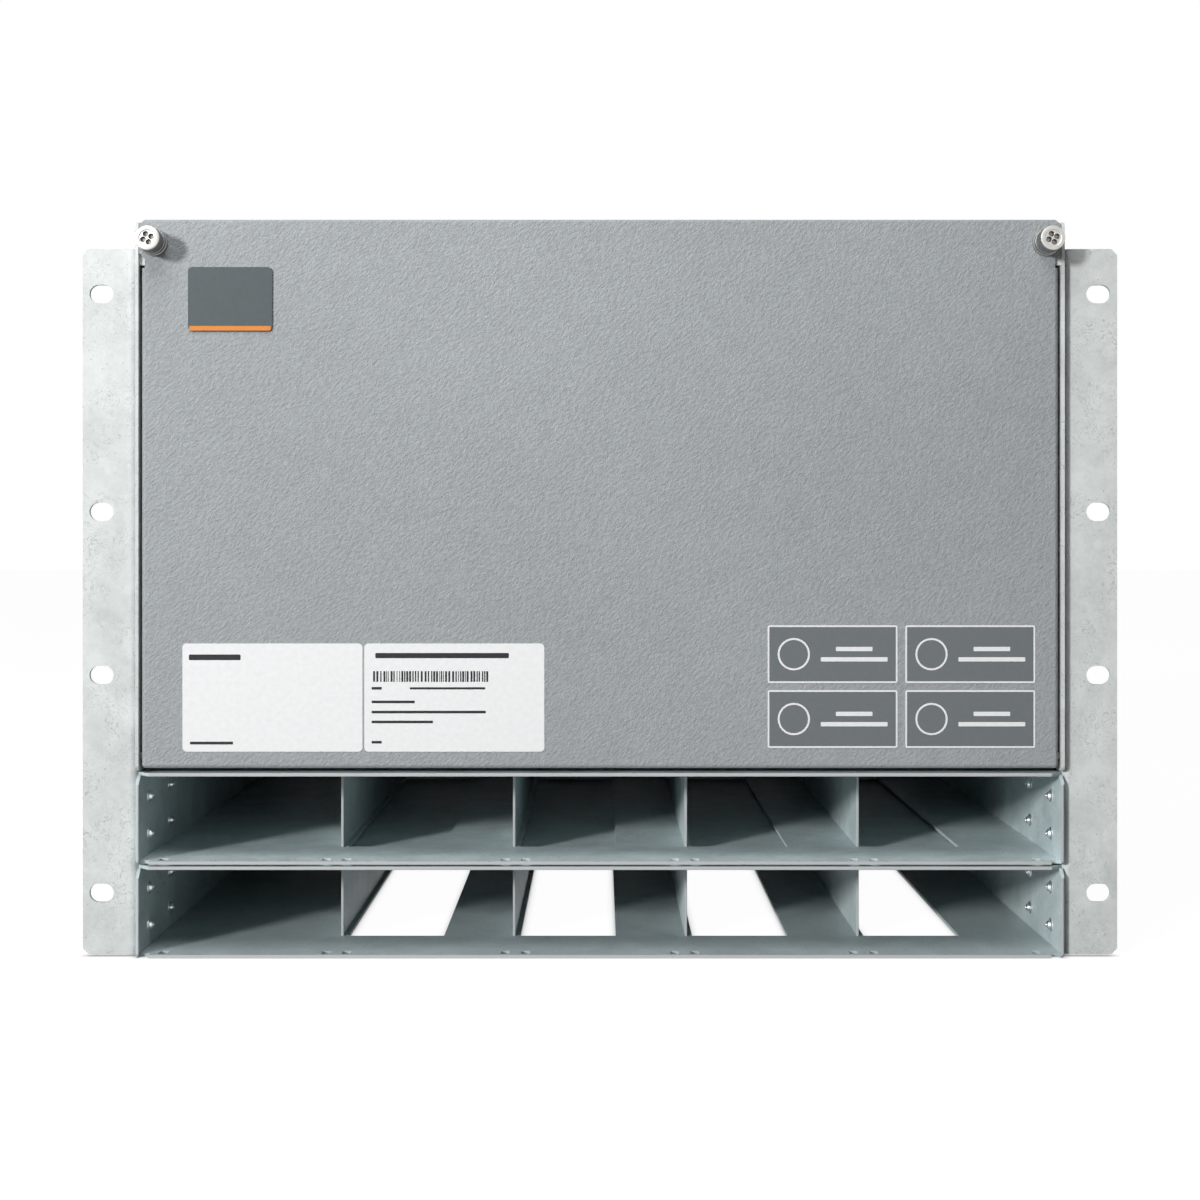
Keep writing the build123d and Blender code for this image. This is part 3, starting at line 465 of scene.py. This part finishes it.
def rounded_box(size, centre, radius):
    """Flat box along Y whose outline in X and Z has round corners.

    The outline is the four corner arcs taken in turn; it is carried from front to back and
    closed at each end by one face.
    """
    width, depth, height = size
    arc = np.linspace(0, pi / 2, 3)
    corners = [(1, 1, 0), (-1, 1, 1), (-1, -1, 2), (1, -1, 3)]
    outline = np.concatenate([
        np.stack([sx * (width / 2 - radius) + radius * np.cos(arc + quarter * pi / 2),
                  sz * (height / 2 - radius) + radius * np.sin(arc + quarter * pi / 2)], axis=-1)
        for sx, sz, quarter in corners])
    count = len(outline)
    points = np.concatenate([
        np.stack([outline[:, 0] + centre[0], np.full(count, centre[1] + side * depth / 2),
                  outline[:, 1] + centre[2]], axis=-1) for side in (-1, 1)])
    faces = grid_faces(2, count).tolist()
    faces += [list(range(count)), list(range(count, 2 * count))]
    return points, faces


# Operators

class SHELF_OT_finishes(bpy.types.Operator):
    """Make every finish and give each CAD node its own"""

    bl_idname = "shelf.finishes"
    bl_label = "Finishes"

    def execute(self, context):
        tones = context.scene.shelf_colours
        FINISHES.update({
            "cover_paint": powder_coat(tones),
            "zinc": zinc_sheet("zinc_sheet", tones.zinc, 0.05, 0.55),
            "cage": zinc_sheet("cage_sheet", tones.cage, 0.0, 0.50, tones.cut, FACE_Y),
            "divider": zinc_sheet("divider_sheet", tones.cage, 0.0, 0.50, tones.cut,
                                  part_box("upper_divider_1")[0].y),
            "nickel": plated("nickel_plate", tones.nickel, 0.36),
            "ferrule": plated("ferrule_steel", (0.30, 0.30, 0.295), 0.42),
            "steel": plated("bright_steel", (0.62, 0.64, 0.65), 0.27),
            "rivet": plated("rivet_zinc", (0.86, 0.89, 0.90), 0.34, 0.70),
            "copper": copper_bar(),
            "case": moulded("case_plastic", (0.60, 0.61, 0.59)),
            "toggle": moulded("toggle_plastic", (0.030, 0.032, 0.036), 0.38),
            "dark": moulded("dark_plastic", (0.045, 0.048, 0.052)),
            "resin": moulded("insulator_resin", (0.40, 0.050, 0.030), 0.35),
            "board": board_laminate(),
            "badge": printed("badge_face", tones.badge),
            "stripe": printed("badge_stripe", tones.stripe),
            "notice": printed("notice_face", tones.notice),
            "paper": printed("label_paper", tones.paper, 0.55),
            "white_ink": printed("white_ink", (0.92, 0.925, 0.93)),
            "black_ink": printed("black_ink", (0.020, 0.021, 0.024)),
        })
        choice = {name: sheet_finish(name) for name in SHEET_NODES}
        choice.update({name: "zinc" for name in ZINC_NODES})
        choice.update({name: "case" for name in CASE_NODES})
        choice.update({name: "toggle" for name in TOGGLE_NODES})
        choice.update({
            "front_cover": "cover_paint", "ferrules": "ferrule", "badge_plate": "badge",
            "rating_labels": "paper", "notice_plates": "notice", "thumbscrew_left": "nickel",
            "thumbscrew_right": "nickel", "frame_rivets_left": "rivet", "frame_rivets_right": "rivet",
            "lower_backplane": "board", "upper_backplane": "board", "signal_board": "board",
            "backplane_sockets": "dark", "surge_cartridges": "dark", "feed_busbar": "copper",
            "return_busbar": "copper", "busbar_insulators": "resin", "busbar_bolts": "steel",
            "signal_board_standoffs": "nickel", "hinge_pins": "nickel", "clinch_nuts": "nickel",
            "earth_stud": "nickel",
        })
        for name, node in frame["nodes"].items():
            dress(node, choice[name])
        return {"FINISHED"}


class SHELF_OT_sheet_metal(bpy.types.Operator):
    """Round the cut edges of the cages, the ears, the box and the cover"""

    bl_idname = "shelf.sheet_metal"
    bl_label = "Sheet metal"

    def execute(self, context):
        edge = context.scene.shelf_sizes.sheet_edge
        for name in SHEET_NODES:
            dress(edged_copy(name, edge), sheet_finish(name))
        for name in ("rack_ear_left", "rack_ear_right", "enclosure_shell"):
            dress(edged_copy(name, edge, parting="EAR_CLIP"), "zinc")
        for name in ("top_panel", "rear_panel"):
            dress(edged_copy(name, edge), "zinc")
        dress(edged_copy("front_cover", edge), "cover_paint")
        return {"FINISHED"}


class SHELF_OT_rivets(bpy.types.Operator):
    """Turn the domed rivets of both sides"""

    bl_idname = "shelf.rivets"
    bl_label = "Rivets"

    def execute(self, context):
        points, faces = turned(self.profile(context.scene.shelf_sizes.rivet_head), 28)
        for side, sign in SIDES:
            low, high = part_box(f"frame_rivets_{side}")
            inner_x, outer_x = (low.x, high.x) if sign > 0 else (high.x, low.x)
            wall_x = inner_x + sign * RIVET_STAND
            heads = []
            for y, z in product((low.y + RIVET_SET_BACK, high.y - RIVET_SET_BACK), RIVET_ROWS):
                place = np.stack([wall_x - sign * points[:, 1], y + points[:, 0], z + points[:, 2]],
                                 axis=-1)
                place[:, 0] = sign * np.minimum(sign * place[:, 0], sign * outer_x)
                heads.append((place, faces))
            piece = new_piece(f"rivets_{side}", *gathered(heads), "frame", "rivet",
                              [f"frame_rivets_{side}"])
            sharpen(piece)
        return {"FINISHED"}

    @staticmethod
    def profile(radius):
        """Profile of one rivet, as (radius, height over the wall) rows.

        It runs from the dimple left by the mandrel, over the dome, whose radius and height are
        the sine and cosine of one angle, and the flange, down the shank to the set tail.
        """
        arc = np.linspace(0, pi / 2, 8)
        dimple = [(0.0, 1.55 * MM), (0.50 * MM, 1.55 * MM), (0.62 * MM, 2.30 * MM)]
        dome = [(0.70 * MM + 1.35 * MM * sin(a), 0.85 * MM + 1.55 * MM * cos(a)) for a in arc]
        flange = [(radius - 0.30 * MM, 0.70 * MM), (radius - 0.05 * MM, 0.50 * MM), (radius, 0.20 * MM),
                  (radius, 0.0)]
        shank = [(1.7 * MM, 0.0), (1.7 * MM, -3.4 * MM)]
        tail = [(2.3 * MM, -3.5 * MM), (2.3 * MM, -4.2 * MM), (0.0, -4.3 * MM)]
        return dimple + dome + flange + shank + tail


class SHELF_OT_thumbscrews(bpy.types.Operator):
    """Turn the grooved thumbscrews and their ferrules"""

    bl_idname = "shelf.thumbscrews"
    bl_label = "Thumbscrews"

    def execute(self, context):
        sizes = context.scene.shelf_sizes
        for side, _ in SIDES:
            low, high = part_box(f"thumbscrew_{side}")
            middle = (low + high) / 2
            points, faces = self.knob(sizes, low.y, high.y)
            points = points + np.array([middle.x, 0.0, middle.z])
            piece = new_piece(f"thumbscrew_{side}_turned", points, faces, f"thumbscrew_{side}", "nickel",
                              [f"thumbscrew_{side}"])
            sharpen(piece, 35.0)
            # Painted shade: the knob's grooved side is darkened, as if it reflected dark surroundings.
            self.shade_knob_side(piece, low.y + 0.9 * MM, 4.4 * MM)
        self.ferrules()
        return {"FINISHED"}

    @staticmethod
    def shade_knob_side(piece, start, reach):
        """Give what lies behind a plane across Y, and out past a reach, the ferrule's darker finish, as
        painted shade.
        """
        piece.data.materials.append(FINISHES["ferrule"])
        centres = np.empty(3 * len(piece.data.polygons))
        piece.data.polygons.foreach_get("center", centres)
        x, y, z = centres.reshape(-1, 3).T
        side = (y > start) & (np.hypot(x - x.mean(), z - z.mean()) > reach)
        piece.data.polygons.foreach_set("material_index", side.astype(np.int32))

    @staticmethod
    def knob(sizes, front, rear):
        """Knob and shank about Y.

        The profile runs from the middle of the face, over the rim, down the grooved side and
        along the shank. On the side the radius is less by the groove depth times a raised
        cosine of the angle. The face sinks by a steep ramp round the middle of each of four lobes.
        """
        radius = sizes.knob_radius
        turns, grooves = 288, 48
        length_of_knob = 8.9 * MM
        lobe_offset, lobe_radius, lobe_depth = 1.95 * MM, 1.15 * MM, 1.4 * MM
        face = np.linspace(0.0, 0.62 * radius, 32)
        profile = [(r, 0.50 * MM) for r in face]
        profile += [(0.645 * radius, 0.45 * MM), (0.66 * radius, 0.12 * MM), (0.69 * radius, 0.0),
                    (0.90 * radius, 0.0), (0.955 * radius, 0.12 * MM), (0.985 * radius, 0.45 * MM),
                    (0.99 * radius, 0.80 * MM)]
        side_start = len(profile)
        profile += [(0.97 * radius, 1.05 * MM), (radius, 1.35 * MM)]
        profile += [(radius, y) for y in np.linspace(1.5 * MM, length_of_knob - 1.0 * MM, 6)]
        side_end = len(profile)
        profile += [(0.97 * radius, length_of_knob - 0.75 * MM), (0.97 * radius, length_of_knob - 0.25 * MM),
                    (0.92 * radius, length_of_knob), (2.0 * MM, length_of_knob)]
        reach = rear - front
        profile += [(2.0 * MM, reach - 0.8 * MM), (1.5 * MM, reach - 0.05 * MM), (0.0, reach)]
        rows = np.array(profile)
        angle = np.linspace(0, 2 * pi, turns, endpoint=False)
        shape = np.ones((len(rows), turns))
        wave = 0.5 + 0.5 * np.cos(grooves * angle)
        shape[side_start + 1:side_end] -= wave * sizes.groove_depth / radius
        points, faces = turned(rows, turns, shape)
        points[:, 1] += front
        flat = points[:len(face) * turns]
        nearest = np.full(len(flat), np.inf)
        for turn in np.radians((20.0, 110.0, 200.0, 290.0)):
            away = np.hypot(flat[:, 0] - lobe_offset * np.cos(turn), flat[:, 2] - lobe_offset * np.sin(turn))
            nearest = np.minimum(nearest, away / lobe_radius)
        flat[:, 1] += lobe_depth * np.clip((1.10 - nearest) / 0.20, 0.0, 1.0)
        return points, faces

    @staticmethod
    def ferrules():
        """Ring between cover and knob: its profile is a short drum with rounded rims, and a bore."""
        low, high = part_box("ferrules")
        radius = 6.25 * MM
        rows = [(2.08 * MM, high.y), (2.08 * MM, low.y + 0.3 * MM), (2.3 * MM, low.y),
                (5.4 * MM, low.y), (5.75 * MM, low.y + 0.15 * MM), (5.85 * MM, low.y + 0.5 * MM),
                (5.85 * MM, FACE_Y - 1.5 * MM), (6.1 * MM, FACE_Y - 1.3 * MM),
                (radius, FACE_Y - 1.1 * MM), (radius, FACE_Y - 0.25 * MM), (6.15 * MM, FACE_Y),
                (4.4 * MM, FACE_Y), (4.4 * MM, high.y), (2.08 * MM, high.y)]
        points, faces = turned(rows, 64)
        rings = [(points + np.array([sign * (high.x - radius), 0.0, (low.z + high.z) / 2]), faces)
                 for _, sign in SIDES]
        piece = new_piece("ferrules_turned", *gathered(rings), "cover", "ferrule", ["ferrules"])
        sharpen(piece, 35.0)


class SHELF_OT_cover_print(bpy.types.Operator):
    """Print the plain stripe, frames and bars on the badge, the labels and the notice plates"""

    bl_idname = "shelf.cover_print"
    bl_label = "Cover print"

    def execute(self, context):
        sizes = context.scene.shelf_sizes
        self.rise = sizes.print_rise
        self.badge()
        self.label_bars()
        self.notices(sizes.frame_line)
        return {"FINISHED"}

    def flat_bars(self, name, bars, face_y, finish):
        """Thin raised rectangles, each (x, z, width, height), as one piece."""
        parts = [rounded_box((w, self.rise, h), (x, face_y - self.rise / 2, z), min(w, h) * 0.2)
                 for x, z, w, h in bars]
        new_piece(name, *gathered(parts), "cover", finish, smooth=False)

    def badge(self):
        """Orange foot of the badge."""
        low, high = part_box("badge_plate")
        height = 2.1 * MM
        self.flat_bars("badge_stripe", [((low.x + high.x) / 2, low.z + height / 2 + 0.25 * MM,
                                         high.x - low.x - 1.2 * MM, height)], low.y, "stripe")

    def label_bars(self):
        """Plain bars and stripes on the two white sheets."""
        low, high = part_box("rating_labels")
        left, top, foot = low.x, high.z, low.z
        middle = (low.x + high.x) / 2
        bars = [(left + 15 * MM, top - 6.4 * MM, 24 * MM, 2.6 * MM),
                (left + 13.5 * MM, foot + 4.0 * MM, 20 * MM, 1.3 * MM),
                (middle + 36.5 * MM, top - 5.6 * MM, 62 * MM, 2.4 * MM),
                (middle + 39.0 * MM, top - 20.8 * MM, 35 * MM, 1.0 * MM)]
        for drop, wide in ((20.8, 4.7), (27.1, 20), (31.8, 53), (36.4, 28.5), (45.8, 4.7)):
            bars.append((middle + (3.8 + wide / 2) * MM, top - drop * MM, wide * MM, 1.2 * MM))
        rng = np.random.default_rng(7)
        x = middle + 4.5 * MM
        while x < middle + 58 * MM:
            wide = rng.choice([0.35, 0.6, 0.9]) * MM
            bars.append((x + wide / 2, top - 15.3 * MM, wide, 5.0 * MM))
            x += wide + rng.choice([0.4, 0.6, 0.9]) * MM
        self.flat_bars("label_print", bars, low.y, "black_ink")

    def notices(self, line):
        """White frame, ring and bars on each of the four dark plates."""
        low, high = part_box("notice_plates")
        width, height = 60.3 * MM, 26.8 * MM
        ring = 15 * MM
        parts = []
        for x in (low.x + width / 2, high.x - width / 2):
            for z in (low.z + height / 2, high.z - height / 2):
                parts.append(self.ring_outline((x, z), (width, height), 0.9 * MM, line, low.y))
                parts.append(self.ring_outline((x - 18 * MM, z), (ring, ring), 7.4 * MM, 0.9 * MM, low.y))
                for row, wide in enumerate((17, 31)):
                    centre = (x + 10 * MM, low.y - self.rise / 2, z + (2.4 - 4.8 * row) * MM)
                    parts.append(rounded_box((wide * MM, self.rise, 2.0 * MM), centre, 0.3 * MM))
        new_piece("notice_print", *gathered(parts), "cover", "white_ink", smooth=False)

    def ring_outline(self, centre, size, radius, line, face_y):
        """Closed flat band that follows a rectangle with round corners.

        The outer and inner outlines are corner arcs about the same centres; the band joins
        them on the front and the back and along both edges.
        """
        arc = np.linspace(0, pi / 2, 7)
        loops = []
        for inset in (0.0, line):
            reach = radius - inset if radius > inset else 0.0001 * MM
            loops.append(np.concatenate([
                np.stack([centre[0] + sx * (size[0] / 2 - radius) + reach * np.cos(arc + quarter * pi / 2),
                          centre[1] + sz * (size[1] / 2 - radius) + reach * np.sin(arc + quarter * pi / 2)],
                         axis=-1)
                for quarter, (sx, sz) in enumerate(((1, 1), (-1, 1), (-1, -1), (1, -1)))]))
        rows = [(loops[0], face_y), (loops[0], face_y - self.rise), (loops[1], face_y - self.rise),
                (loops[1], face_y), (loops[0], face_y)]
        points = np.concatenate([np.stack([loop[:, 0], np.full(len(loop), y), loop[:, 1]], axis=-1)
                                 for loop, y in rows])
        return points, grid_faces(len(rows), len(loops[0]))


class SHELF_OT_moulded(bpy.types.Operator):
    """Round the edges of the moulded pieces behind the cover and of the toggles"""

    bl_idname = "shelf.moulded"
    bl_label = "Moulded pieces"

    def execute(self, context):
        edge = context.scene.shelf_sizes.case_edge
        for name in CASE_NODES:
            dress(edged_copy(name, edge), "case")
        for name in TOGGLE_NODES:
            dress(edged_copy(name, 0.6 * edge), "toggle")
        dress(edged_copy("surge_cartridges", edge), "dark")
        return {"FINISHED"}


class SHELF_OT_stage(bpy.types.Operator):
    """Set up the floor, the lamps, the even light and the camera"""

    bl_idname = "shelf.stage"
    bl_label = "Studio"

    lamps = (("key_lamp", (-2.90, -3.67, 1.30), (0.0, -0.10, 0.16), 0.63),
             ("fill_lamp", (-0.20, -0.60, 0.92), (0.0, -0.15, 0.25), 0.50))

    def execute(self, context):
        studio = context.scene.shelf_studio
        self.floor()
        self.world(studio.sky)
        for (name, place, aim, size), power in zip(self.lamps, (studio.key_power, studio.fill_power)):
            self.lamp(name, place, aim, size, power)
        camera = bpy.data.objects.new("camera", bpy.data.cameras.new("camera"))
        context.scene.collection.objects.link(camera)
        camera.location = (0.0, FACE_Y - studio.distance, studio.height)
        camera.rotation_euler = (pi / 2, 0.0, 0.0)
        camera.data.lens = studio.lens
        camera.data.shift_y = studio.shift
        camera.data.clip_start = 0.01
        context.scene.camera = camera
        context.scene.view_settings.view_transform = "Standard"
        return {"FINISHED"}

    @staticmethod
    def split_rays(tree, surface, seen, other):
        """Join two shaders: one seen by camera, glossy and transmission rays, one for the rest."""
        path = tree.nodes.new("ShaderNodeLightPath")
        first = tree.nodes.new("ShaderNodeMath")
        second = tree.nodes.new("ShaderNodeMath")
        first.operation = second.operation = "MAXIMUM"
        tree.links.new(path.outputs["Is Camera Ray"], first.inputs[0])
        tree.links.new(path.outputs["Is Glossy Ray"], first.inputs[1])
        tree.links.new(first.outputs[0], second.inputs[0])
        tree.links.new(path.outputs["Is Transmission Ray"], second.inputs[1])
        mix = tree.nodes.new("ShaderNodeMixShader")
        tree.links.new(second.outputs[0], mix.inputs[0])
        tree.links.new(other, mix.inputs[1])
        tree.links.new(seen, mix.inputs[2])
        tree.links.new(mix.outputs[0], surface)

    def floor(self):
        """Large pale floor: a white glow for the eye, darkened next to the object as a painted contact
        shadow, over a share of plain white that takes shadow.
        """
        mesh = bpy.data.meshes.new("studio_floor")
        mesh.from_pydata([(-12, -12, 0), (12, -12, 0), (12, 12, 0), (-12, 12, 0)], [], [(0, 1, 2, 3)])
        floor = bpy.data.objects.new("studio_floor", mesh)
        bpy.context.scene.collection.objects.link(floor)
        finish = bpy.data.materials.new("studio_floor")
        finish.use_nodes = True
        tree = finish.node_tree
        tree.nodes.clear()
        out = tree.nodes.new("ShaderNodeOutputMaterial")
        # Painted shadow: ambient occlusion darkens the glow where the object stands close over the floor.
        painted_contact_shadow = tree.nodes.new("ShaderNodeAmbientOcclusion")
        painted_contact_shadow.inputs["Distance"].default_value = 0.004
        glow = tree.nodes.new("ShaderNodeEmission")
        glow.inputs["Strength"].default_value = 0.975
        tree.links.new(painted_contact_shadow.outputs["Color"], glow.inputs["Color"])
        matt = tree.nodes.new("ShaderNodeBsdfDiffuse")
        matt.inputs["Color"].default_value = (0.12, 0.12, 0.12, 1.0)
        both = tree.nodes.new("ShaderNodeAddShader")
        plain = tree.nodes.new("ShaderNodeBsdfDiffuse")
        plain.inputs["Color"].default_value = (0.30, 0.30, 0.30, 1.0)
        tree.links.new(glow.outputs[0], both.inputs[0])
        tree.links.new(matt.outputs[0], both.inputs[1])
        self.split_rays(tree, out.inputs["Surface"], both.outputs[0], plain.outputs[0])
        mesh.materials.append(finish)

    def world(self, strength):
        """Even light all round, white for the camera and for reflections."""
        world = bpy.data.worlds.new("studio")
        world.use_nodes = True
        bpy.context.scene.world = world
        tree = world.node_tree
        tree.nodes.clear()
        out = tree.nodes.new("ShaderNodeOutputWorld")
        seen = tree.nodes.new("ShaderNodeBackground")
        seen.inputs["Color"].default_value = (1.0, 1.0, 1.0, 1.0)
        seen.inputs["Strength"].default_value = 1.0
        even = tree.nodes.new("ShaderNodeBackground")
        even.inputs["Color"].default_value = (0.97, 0.985, 1.0, 1.0)
        even.inputs["Strength"].default_value = strength
        self.split_rays(tree, out.inputs["Surface"], seen.outputs[0], even.outputs[0])

    @staticmethod
    def lamp(name, place, aim, size, power):
        """Square lamp at a place, turned towards its aim."""
        light = bpy.data.lights.new(name, "AREA")
        light.size = size
        light.energy = power
        lamp = bpy.data.objects.new(name, light)
        bpy.context.scene.collection.objects.link(lamp)
        lamp.location = place
        lamp.rotation_euler = (Vector(aim) - Vector(place)).to_track_quat("-Z", "Y").to_euler()


class SHELF_PT_panel(bpy.types.Panel):
    """Panel that lists the shelf's operators and settings"""

    bl_idname = "SHELF_PT_panel"
    bl_label = "Rack Power Shelf"
    bl_space_type = "VIEW_3D"
    bl_region_type = "UI"
    bl_category = "Power Shelf"

    def draw(self, context):
        for operator in OPERATORS:
            self.layout.operator(operator.bl_idname)
        for group in (context.scene.shelf_sizes, context.scene.shelf_colours, context.scene.shelf_studio):
            box = self.layout.box()
            for key in group.bl_rna.properties.keys():
                if key not in ("rna_type", "name"):
                    box.prop(group, key)


OPERATORS = (SHELF_OT_finishes, SHELF_OT_sheet_metal, SHELF_OT_rivets, SHELF_OT_thumbscrews,
             SHELF_OT_cover_print, SHELF_OT_moulded, SHELF_OT_stage)
GROUPS = (("shelf_sizes", ShelfSizes), ("shelf_colours", ShelfColours), ("shelf_studio", ShelfStudio))


def register():
    """Register the settings, the operators and the panel."""
    for key, group in GROUPS:
        bpy.utils.register_class(group)
        setattr(bpy.types.Scene, key, bpy.props.PointerProperty(type=group))
    for operator in OPERATORS:
        bpy.utils.register_class(operator)
    bpy.utils.register_class(SHELF_PT_panel)


def unregister():
    """Take the panel, the operators and the settings away again."""
    bpy.utils.unregister_class(SHELF_PT_panel)
    for operator in reversed(OPERATORS):
        bpy.utils.unregister_class(operator)
    for key, group in reversed(GROUPS):
        delattr(bpy.types.Scene, key)
        bpy.utils.unregister_class(group)


def main():
    """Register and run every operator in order."""
    register()
    for operator in OPERATORS:
        area, name = operator.bl_idname.split(".")
        getattr(getattr(bpy.ops, area), name)()


if __name__ == "__main__":
    main()
